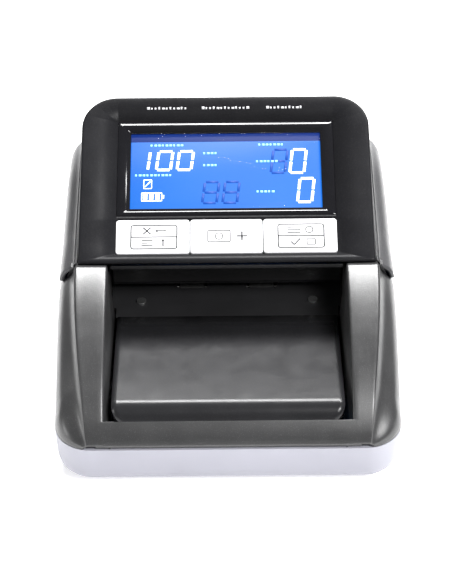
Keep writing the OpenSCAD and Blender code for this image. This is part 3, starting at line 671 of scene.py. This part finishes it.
def make_cover():
    """The cheeks and the back of the lid, one moulding round the head."""
    build = Builder()
    stops = spread(0, WALK_LEN, 84)
    outer = [cover_row(q, 0) for q in stops]
    inner = [cover_row(q, COVER_WALL) for q in stops]
    outer += [mirror_x(row) for row in reversed(outer[:-1])]
    inner += [mirror_x(row) for row in reversed(inner[:-1])]
    build.sheet(outer, inner)
    return build.piece("cover_shoulder")


def head_seat(y):
    """Height at which the side of the head ends, just inside the cheeks."""
    if y < -8:
        return lerp(LIP_Z - 0.35, LIP_Z - 2.4, (y + 10) / 2)
    return lerp(LIP_Z - 2.4, LIP_Z + 1, min(1, (y + 8) / 66))


def head_ring(inset, out, skirt=False):
    """Outline of the head in the panel's plane; the skirt ring follows the seat instead."""
    x, r_back, r_front = HEAD_X - inset, HEAD_R - inset, 1.2
    ring = []
    corners = ((x - r_front, inset + r_front, -90, r_front, 5),
               (x - r_back, PANEL_LEN - inset - r_back, 0, r_back, 18),
               (-x + r_back, PANEL_LEN - inset - r_back, 90, r_back, 18),
               (-x + r_front, inset + r_front, 180, r_front, 5))
    for cx, cl, start, r, steps in corners:
        for k in range(steps + 1):
            a = math.radians(start + 90 * k / steps)
            ring.append((cx + r * math.cos(a), cl + r * math.sin(a)))
        if start == -90:
            ring += [(x, lerp(6, PANEL_LEN - HEAD_R - 6, k / 12)) for k in range(13)]
        if start == 90:
            ring += [(-x, lerp(PANEL_LEN - HEAD_R - 6, 6, k / 12)) for k in range(13)]
    points = []
    for px, pl in ring:
        depth = out
        if skirt:
            y, z = on_panel(px, pl)[1:]
            depth = -max(0.5, (z - head_seat(y)) / math.cos(TILT))
            if pl > PANEL_LEN - HEAD_R:
                depth = max(depth, -HEAD_DEPTH)
        points.append(on_panel(px, pl, depth))
    return points


def make_head():
    """The display housing: a tilted hood with a soft edge, the key opening and the lens seat."""
    build = Builder()
    edge = 1.1
    rings = [head_ring(0, 0, skirt=True), head_ring(0, -edge)]
    for a in (math.radians(25), math.radians(50), math.radians(75)):
        rings.append(head_ring(edge * (1 - math.cos(a)), -edge * (1 - math.sin(a))))
    rings.append(head_ring(edge, 0))
    build.loops(rings, cap_first=False, cap_last=False)
    piece = build.piece("head_shell")
    work = bmesh.new()
    work.from_mesh(piece.data)
    work.verts.ensure_lookup_table()
    count = len(rings[0])
    rim = work.verts[-count:]
    edges = [work.edges.get((rim[i], rim[(i + 1) % count])) for i in range(count)]
    wells = []
    for x, l0, l1, r in ((STRIP_X + 0.15, KEY_L0 - 0.15, KEY_L1 + 0.15, 1.0),
                         (STRIP_X + 0.1, LENS_L0 - 0.1, LENS_L1 + 0.1, 0.3)):
        ring = round_ring(-x, x, l0, l1, r, 4)
        top = [work.verts.new(Vector(on_panel(px, pl)) * MM) for px, pl in ring]
        low = [work.verts.new(Vector(on_panel(px, pl, -1.9)) * MM) for px, pl in ring]
        edges += [work.edges.new((top[i], top[(i + 1) % len(top)])) for i in range(len(top))]
        wells.append((top, low))
    bmesh.ops.triangle_fill(work, use_beauty=True, use_dissolve=False, edges=edges,
                            normal=Vector((0, -math.sin(TILT), math.cos(TILT))))
    for top, low in wells:
        for i in range(len(top)):
            k = (i + 1) % len(top)
            work.faces.new((top[i], low[i], low[k], top[k]))
    bmesh.ops.recalc_face_normals(work, faces=work.faces)
    work.to_mesh(piece.data)
    work.free()
    piece.data.polygons.foreach_set("use_smooth", [True] * len(piece.data.polygons))
    return piece


def make_key(name, x0, x1):
    """A key cap with a soft rim, a faintly crowned top and a stem."""
    build = Builder()
    l0, l1 = KEY_L0 + 0.2, KEY_L1 - 0.2
    rings = []
    for inset, out in ((0, -2.0), (0, KEY_PROUD - 0.45), (0.07, KEY_PROUD - 0.22), (0.25, KEY_PROUD - 0.06),
                       (0.5, KEY_PROUD)):
        ring = round_ring(x0 + inset, x1 - inset, l0 + inset, l1 - inset, 1.1 - 0.5 * inset, 6)
        rings.append([on_panel(px, pl, out) for px, pl in ring])
    build.loops(rings)
    middle = (x0 + x1) / 2
    stem = [[on_panel(middle + 2.2 * math.cos(a), 11.4 + 2.2 * math.sin(a), out)
             for a in [math.radians(30 * k) for k in range(12)]] for out in (-4, -1.95)]
    build.loops(stem)
    return build.piece(name)


def plate_with_window(name, x, l0, l1, wx, w0, w1, low, high):
    """A flat plate on the panel with a rectangular window."""
    build = Builder()
    rings = []
    for out, inset in ((low, 0), (high - 0.15, 0), (high, 0.12)):
        outline = round_ring(-x + inset, x - inset, l0 + inset, l1 - inset, 0.5, 3)
        rings.append([on_panel(px, pl, out) for px, pl in outline])
    for out in (high, low):
        rings.append([on_panel(px, pl, out) for px, pl in round_ring(-wx, wx, w0, w1, 0.3, 3)])
    rings.append(rings[0])
    build.loops(rings, cap_first=False, cap_last=False)
    return build.piece(name)


def pane(name, x, l0, l1, low, high):
    """A thin flat slab on the panel."""
    build = Builder()
    rings = []
    for out, inset in ((low, 0), (high - 0.08, 0), (high, 0.08)):
        outline = round_ring(-x + inset, x - inset, l0 + inset, l1 - inset, 0.3, 2)
        rings.append([on_panel(px, pl, out) for px, pl in outline])
    build.loops(rings)
    return build.piece(name)


# ------------------------------------------------------------------ printed marks and display figures


class Marks:
    """Flat strokes that lie on the panel at one height."""

    def __init__(self, out):
        self.build = Builder()
        self.out = out
        self.top = out + INK_THICK

    def shape(self, outline):
        """A filled flat shape of (x, l) points, counter-clockwise."""
        low = [on_panel(x, up, self.out) for x, up in outline]
        high = [on_panel(x, up, self.top) for x, up in outline]
        self.build.loops([low, high])

    def bar(self, x0, l0, x1, l1):
        self.shape([(x0, l0), (x1, l0), (x1, l1), (x0, l1)])

    def line(self, a, b, width):
        dx, dl = b[0] - a[0], b[1] - a[1]
        size = math.hypot(dx, dl)
        nx, nl = -dl / size * width / 2, dx / size * width / 2
        near = [(a[0] - nx, a[1] - nl), (b[0] - nx, b[1] - nl)]
        far = [(b[0] + nx, b[1] + nl), (a[0] + nx, a[1] + nl)]
        self.shape(near + far)

    def ring(self, x0, x1, l0, l1, r, width):
        outer = round_ring(x0, x1, l0, l1, r, 5)
        inner = round_ring(x0 + width, x1 - width, l0 + width, l1 - width, max(0.1, r - width), 5)
        rings = []
        for outline, out in ((outer, self.out), (outer, self.top), (inner, self.top), (inner, self.out)):
            rings.append([on_panel(x, up, out) for x, up in outline])
        rings.append(rings[0])
        self.build.loops(rings, cap_first=False, cap_last=False)

    def arrow(self, a, b, width):
        self.line(a, b, width)
        dx, dl = b[0] - a[0], b[1] - a[1]
        size = math.hypot(dx, dl)
        ux, ul = dx / size, dl / size
        head = width * 2.2
        self.shape([
            (b[0] - ul * head * 0.6, b[1] - ux * head * 0.6),
            (b[0] + ux * head, b[1] + ul * head),
            (b[0] + ul * head * 0.6, b[1] + ux * head * 0.6),
        ])

    def digit(self, x, low, width, height, lit_segments, slant=0.12, bar=1.1, space=0.35):
        """Seven-segment figure: segments a to g, clockwise from the top, with g in the middle."""
        half = height / 2

        def at(px, pl):
            return (x + px + slant * pl, low + pl)

        ends = {
            "a": ((space, height), (width - space, height)),
            "b": ((width, height - space), (width, half + space)),
            "c": ((width, half - space), (width, space)),
            "d": ((space, 0), (width - space, 0)),
            "e": ((0, half - space), (0, space)),
            "f": ((0, height - space), (0, half + space)),
            "g": ((space, half), (width - space, half)),
        }
        for segment in lit_segments:
            a, b = ends[segment]
            self.line(at(*a), at(*b), bar)

    def piece(self, name):
        return self.build.piece(name)


DIGITS = {"0": "abcdef", "1": "bc", "8": "abcdefg"}


# ------------------------------------------------------------------ finishes

FINISH = {
    "base_plastic": moulded("base_plastic", (0.35, 0.35, 0.4), 0.45, 0.35, spread=0.03),
    # the frame, cover, head and tray plastics carry painted sparkle specks, which are painted glints in the
    # base colour
    "frame_plastic": moulded("frame_plastic", (0.03, 0.03, 0.031), 0.34, 0.7, painted_sparkle=0.35, shine=0.8),
    "cover_plastic": moulded("cover_plastic", (0.055, 0.055, 0.058), 0.34, 0.7, painted_sparkle=0.35, shine=0.5),
    "head_plastic": moulded("head_plastic", (0.011, 0.011, 0.0125), 0.33, 0.3, painted_sparkle=0.15, shine=0.09),
    "tray_plastic": moulded("tray_plastic", (0.016, 0.016, 0.0175), 0.24, 0.35, painted_sparkle=0.1, shine=0.3),
    "black_plastic": moulded("black_plastic", (0.014, 0.014, 0.015), 0.45, 0.5, spread=0.2),
    "key_white": moulded("key_white", (0.82, 0.82, 0.84), 0.34, 0.12, spread=0.01),
    "gear_plastic": moulded("gear_plastic", (0.62, 0.6, 0.54), 0.4, 0.2, spread=0.05),
    "lens_black": glossy("lens_black", (0.006, 0.006, 0.0075), 0.07),
    "lcd_blue": lit("lcd_blue", (0.0, 0.25, 1.0), (0.0, 0.2, 0.94), 0.86),
    "light_guide": moulded("light_guide", (0.75, 0.8, 0.84), 0.15, 0.1, spread=0.02, coat=0.4),
    "window_dark": glossy("window_dark", (0.02, 0.008, 0.018), 0.05),
    "uv_tube": lit("uv_tube", (0.3, 0.18, 0.8), (0.25, 0.15, 0.7), 0.25),
    "rubber_black": rubber("rubber_black", (0.012, 0.012, 0.012)),
    "steel": metal("steel", (0.62, 0.62, 0.6), 0.22),
    "zinc": metal("zinc", (0.55, 0.56, 0.56), 0.34, (60, 60, 1), 0.15),
    "brass": metal("brass", (0.75, 0.55, 0.24), 0.25),
    "board": circuit_board("board", (0.012, 0.09, 0.035)),
    "cell_wrap": moulded("cell_wrap", (0.02, 0.11, 0.28), 0.28, 0.2, spread=0.06, coat=0.3),
    "rocker_red": moulded("rocker_red", (0.42, 0.016, 0.012), 0.3, 0.2, spread=0.05, coat=0.2),
}
LENS_WINDOW = glossy("lens_window", (0.0, 0.0, 0.0), 0.04, alpha=0.015)
LCD_STRIP = lit("lcd_strip", (0.004, 0.045, 0.33), (0.003, 0.035, 0.28), 0.9)
LCD_GHOST = lit("lcd_ghost", (0.0, 0.15, 0.84), (0.0, 0.12, 0.76), 0.76)
LCD_FIGURE = ink("lcd_figure", (0.86, 0.95, 1.0), 1.35)
LCD_LABEL = ink("lcd_label", (0.25, 0.62, 1.0), 1.0)
PRINT_WHITE = ink("print_white", (0.62, 0.62, 0.64))
PRINT_DARK = ink("print_dark", (0.012, 0.012, 0.014))

# how much the hard edges of a CAD piece are rounded, by its finish
PLAIN_ROUNDING = 0.15
ROUNDING = {
    "base_plastic": 0.5, "frame_plastic": 0.3, "black_plastic": 0.25, "rubber_black": 0.3,
    "zinc": 0.12, "key_white": 0.2, "gear_plastic": 0.08, "board": 0.06,
}

slot_of = {entry["node"]: entry["material_slot"] for entry in frame["record"]["subparts"]}


def wear(piece, material):
    """Gives a piece one material and no other."""
    piece.data.materials.clear()
    piece.data.materials.append(material)


for name, cad in NODES.items():
    wear(cad, FINISH[slot_of[name]])
    soften(cad, ROUNDING.get(slot_of[name], PLAIN_ROUNDING))


def fit_out(piece, body, slot_name=None, material=None, stands_for=()):
    """Gives a piece its finish, fixes it to a body and hides the CAD nodes it stands for."""
    wear(piece, material or FINISH[slot_name])
    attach(piece, body)
    if stands_for:
        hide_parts(*stands_for)


# ------------------------------------------------------------------ the outer pieces

for maker in (make_frame_arms, make_frame_nose, make_frame_tub, make_hinge_ears):
    part = maker()
    fit_out(part, "base_unit", "frame_plastic", stands_for=("lower_frame",))
    if maker is not make_frame_arms:
        soften(part, 0.25)

fit_out(make_tray(), "base_unit", "tray_plastic", stands_for=("note_tray",))
fit_out(make_cover(), "lid", "cover_plastic", stands_for=("upper_cover",))
fit_out(make_head(), "lid", "head_plastic", stands_for=("display_housing",))

lens = plate_with_window("lens_border", STRIP_X, LENS_L0, LENS_L1, LCD_X, LCD_L0, LCD_TOP, -1.4, -0.05)
fit_out(lens, "lid", "lens_black", stands_for=("display_lens",))
window = pane("lens_window", LCD_X - 0.02, LCD_L0 + 0.02, LCD_TOP - 0.02, -0.35, -0.1)
fit_out(window, "lid", material=LENS_WINDOW)
field = pane("lcd_field", LCD_X, LCD_L0, LCD_L1, -1.35, -1.0)
fit_out(field, "lid", "lcd_blue", stands_for=("lcd_panel",))
strip = pane("lcd_top_strip", LCD_X, LCD_L1, LCD_TOP, -1.35, -1.02)
fit_out(strip, "lid", material=LCD_STRIP)

for name, x0, x1, body, cad_name in (
    ("key_left", -STRIP_X, -MID_X - 0.15, "left_key_body", "left_key"),
    ("key_right", MID_X + 0.15, STRIP_X, "right_key_body", "right_key"),
    ("key_middle", -MID_X + 0.15, MID_X - 0.15, "lid", "centre_plate"),
):
    fit_out(make_key(name, x0, x1), body, "key_white", stands_for=(cad_name,))

# ------------------------------------------------------------------ what the display shows

figures = Marks(-0.99)
for x, low, width, height, figure in ((-34.6, 42.4, 3.6, 8.6, "1"), (-27.6, 42.4, 5.6, 8.6, "0"),
                                      (-19.4, 42.4, 5.6, 8.6, "0"), (25.3, 40.6, 5.6, 10.8, "0"),
                                      (28.0, 27.1, 5.6, 10.8, "0")):
    figures.digit(x, low, width, height, DIGITS[figure])
figures.ring(-33.4, -25.2, 28.0, 32.0, 0.3, 0.35)
figures.bar(-25.1, 29.2, -24.4, 30.8)
for k in range(3):
    figures.bar(-32.7 + 2.4 * k, 28.7, -31.0 + 2.4 * k, 31.3)
figures.ring(-32.6, -29.2, 33.7, 38.0, 0.2, 0.3)
figures.line((-32.0, 34.6), (-29.9, 37.1), 0.4)
fit_out(figures.piece("lcd_figures"), "lid", material=LCD_FIGURE)

labels = Marks(-0.985)
for x0, x1, low in ((-30, -17, 53.4), (13, 23, 53.4), (-9, -2.5, 49.6), (-9, -3.5, 44.0), (-36, -21, 39.5),
                    (12, 21, 45.6), (12, 20, 31.6)):
    count = round((x1 - x0) / 1.5)
    for k in range(count):
        labels.bar(x0 + 1.5 * k, low, x0 + 1.5 * k + (1.1 if k % 3 else 0.8), low + 0.9)
fit_out(labels.piece("lcd_labels"), "lid", material=LCD_LABEL)

ghosts = Marks(-0.995)
for x in (-9.4, -1.4):
    ghosts.digit(x, 27.0, 5.6, 9.6, DIGITS["8"])
ghosts.digit(17.8, 40.6, 5.6, 10.8, DIGITS["8"])
fit_out(ghosts.piece("lcd_ghosts"), "lid", material=LCD_GHOST)

# ------------------------------------------------------------------ printing on the keys and the head


def key_print(name, x0, x1, body, draw):
    """Prints a frame, the line across its middle and what draw adds on one key."""
    marks = Marks(KEY_PROUD - 0.005)
    marks.ring(x0, x1, 5.7, 16.6, 1.2, 0.48)
    marks.bar(x0 + 0.4, 10.95, x1 - 0.4, 11.4)
    draw(marks)
    fit_out(marks.piece(name), body, material=PRINT_DARK)


def draw_left(marks):
    """Clear and direction: a cross, lines and two arrows."""
    marks.line((-32.4, 12.4), (-29.4, 15.4), 0.5)
    marks.line((-32.4, 15.4), (-29.4, 12.4), 0.5)
    marks.arrow((-23.4, 13.9), (-26.8, 13.9), 0.5)
    for k in range(3):
        marks.bar(-33.0, 7.2 + 1.1 * k, -28.6, 7.6 + 1.1 * k)
    marks.arrow((-24.6, 7.0), (-24.6, 9.3), 0.5)


def draw_right(marks):
    """Report and currency: a list, a coin, a tick and a box."""
    for k in range(3):
        marks.bar(23.6, 12.4 + 1.2 * k, 28.8, 12.8 + 1.2 * k)
    marks.ring(30.6, 33.8, 12.3, 15.5, 1.55, 0.4)
    marks.line((25.0, 8.6), (26.2, 7.2), 0.5)
    marks.line((26.2, 7.2), (28.6, 10.0), 0.5)
    marks.ring(31.0, 34.6, 7.1, 9.9, 0.4, 0.35)


key_print("print_left_key", -37.3, -19.0, "left_key_body", draw_left)
key_print("print_right_key", 19.8, 38.1, "right_key_body", draw_right)

note_mark = Marks(KEY_PROUD - 0.005)
note_mark.ring(-7.4, 1.6, 8.6, 14.0, 0.5, 0.4)
note_mark.ring(-4.5, -1.3, 9.7, 12.9, 1.55, 0.35)
note_mark.bar(4.0, 11.0, 8.0, 11.6)
note_mark.bar(5.7, 9.3, 6.3, 13.3)
fit_out(note_mark.piece("print_middle_key"), "lid", material=PRINT_DARK)

legend = Marks(-0.012)
for start, count in ((-31.5, 11), (-9.5, 13), (16.5, 10)):
    for k in range(count):
        x = start + 1.5 * k
        legend.bar(x, 70.4, x + (0.7 if k % 4 else 1.15), 71.3 if k % 3 else 71.6)
fit_out(legend.piece("print_head_legend"), "lid", material=PRINT_WHITE)

# ------------------------------------------------------------------ camera, lamps and floor

FLOOR_Z = CAD_BOX[0][2]
scene = bpy.context.scene
# the default transform would dull the white keys and the blue display
scene.view_settings.view_transform = "Standard"

bpy.ops.mesh.primitive_plane_add(size=6.0, location=(0, 0, FLOOR_Z))
floor = bpy.context.object
floor.name = "floor"
paper, tree, bsdf = shader("paper")
bsdf.inputs["Base Color"].default_value = (0.95, 0.95, 0.95, 1)
bsdf.inputs["Roughness"].default_value = 0.8
bsdf.inputs["Emission Color"].default_value = (1, 1, 1, 1)
bsdf.inputs["Emission Strength"].default_value = 0.5
wear(floor, paper)

target = Vector((0, -6, 37)) * MM
distance = 720 * MM
lift = math.radians(40)
camera_data = bpy.data.cameras.new("camera")
camera = bpy.data.objects.new("camera", camera_data)
scene.collection.objects.link(camera)
place = Matrix.Translation(target + distance * Vector((0, -math.cos(lift), math.sin(lift))))
tip = Matrix.Rotation(math.pi / 2 - lift, 4, "X")
roll = Matrix.Rotation(math.radians(-0.55), 4, "Z")
camera.matrix_world = place @ tip @ roll
camera_data.sensor_fit = "VERTICAL"
camera_data.sensor_height = 24
camera_data.lens = 75.3
camera_data.shift_x = -0.0017
camera_data.shift_y = -0.0034
camera_data.clip_start = 0.01
scene.camera = camera


def lamp(name, place, aim, size, power):
    """A soft rectangular lamp that points at aim."""
    data = bpy.data.lights.new(name, "AREA")
    data.shape = "RECTANGLE"
    data.size, data.size_y = size
    data.energy = power
    made = bpy.data.objects.new(name, data)
    scene.collection.objects.link(made)
    made.location = place
    made.rotation_euler = (Vector(aim) - Vector(place)).to_track_quat("-Z", "Y").to_euler()


lamp("back_lamp", (0.16, 0.66, 0.92), (0, -0.04, 0.04), (1.0, 0.26), 30)
lamp("key_lamp", (0.5, -0.6, 0.95), (0, 0, 0.04), (0.35, 0.4), 15)
lamp("side_lamp", (-0.9, -0.3, 0.3), (0, 0, 0.04), (0.3, 0.3), 2)

world = bpy.data.worlds.new("studio")
scene.world = world
world.use_nodes = True
world.node_tree.nodes["Background"].inputs["Color"].default_value = (1, 1, 1, 1)
world.node_tree.nodes["Background"].inputs["Strength"].default_value = 0.18
